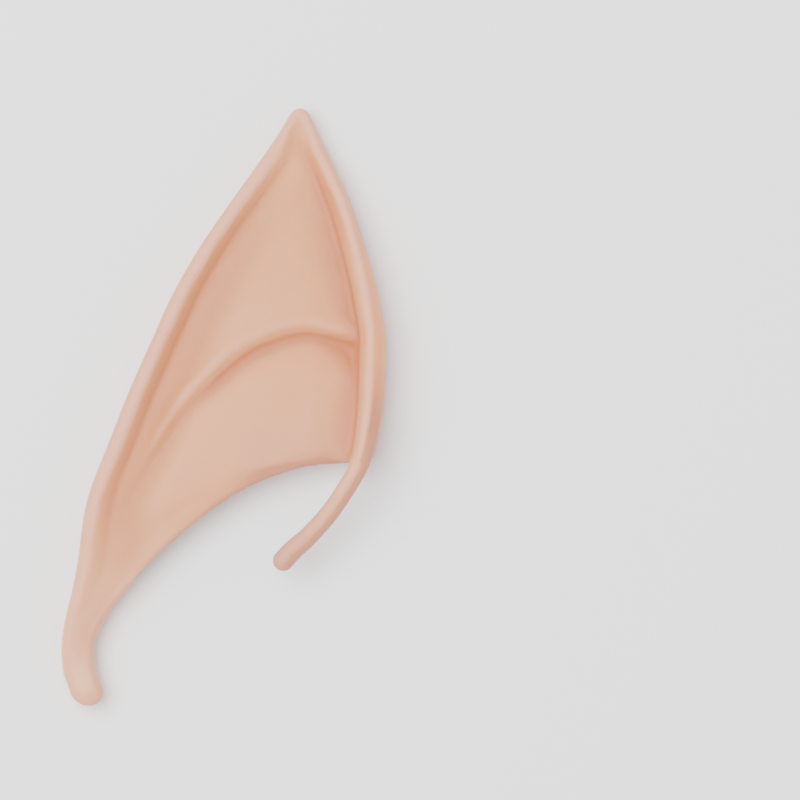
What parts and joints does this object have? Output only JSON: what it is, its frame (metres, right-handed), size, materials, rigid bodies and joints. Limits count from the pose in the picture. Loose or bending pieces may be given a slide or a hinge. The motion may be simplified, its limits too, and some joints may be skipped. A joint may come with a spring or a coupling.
{
  "type": "elf ear tip",
  "caption": "Pointed costume ear cap moulded in soft skin-toned latex: a hollow sleeve over the wearer's ear, with a lobe hook behind and a tail in front.",
  "frame": {"origin": "middle of the bounding box at its bottom, where the back of the sleeve lies on a flat surface", "axes": "+Y to the pointed tip, +Z out of the front face, +X to the front rim that lies beside the wearer's face"},
  "size_m": [0.0652, 0.12, 0.015],
  "materials": {
    "latex_skin": "matt, lightly powdered, skin toned all through"
  },
  "bodies": {
    "root": {"ear_sleeve": "latex_skin"}
  },
  "joints": []
}
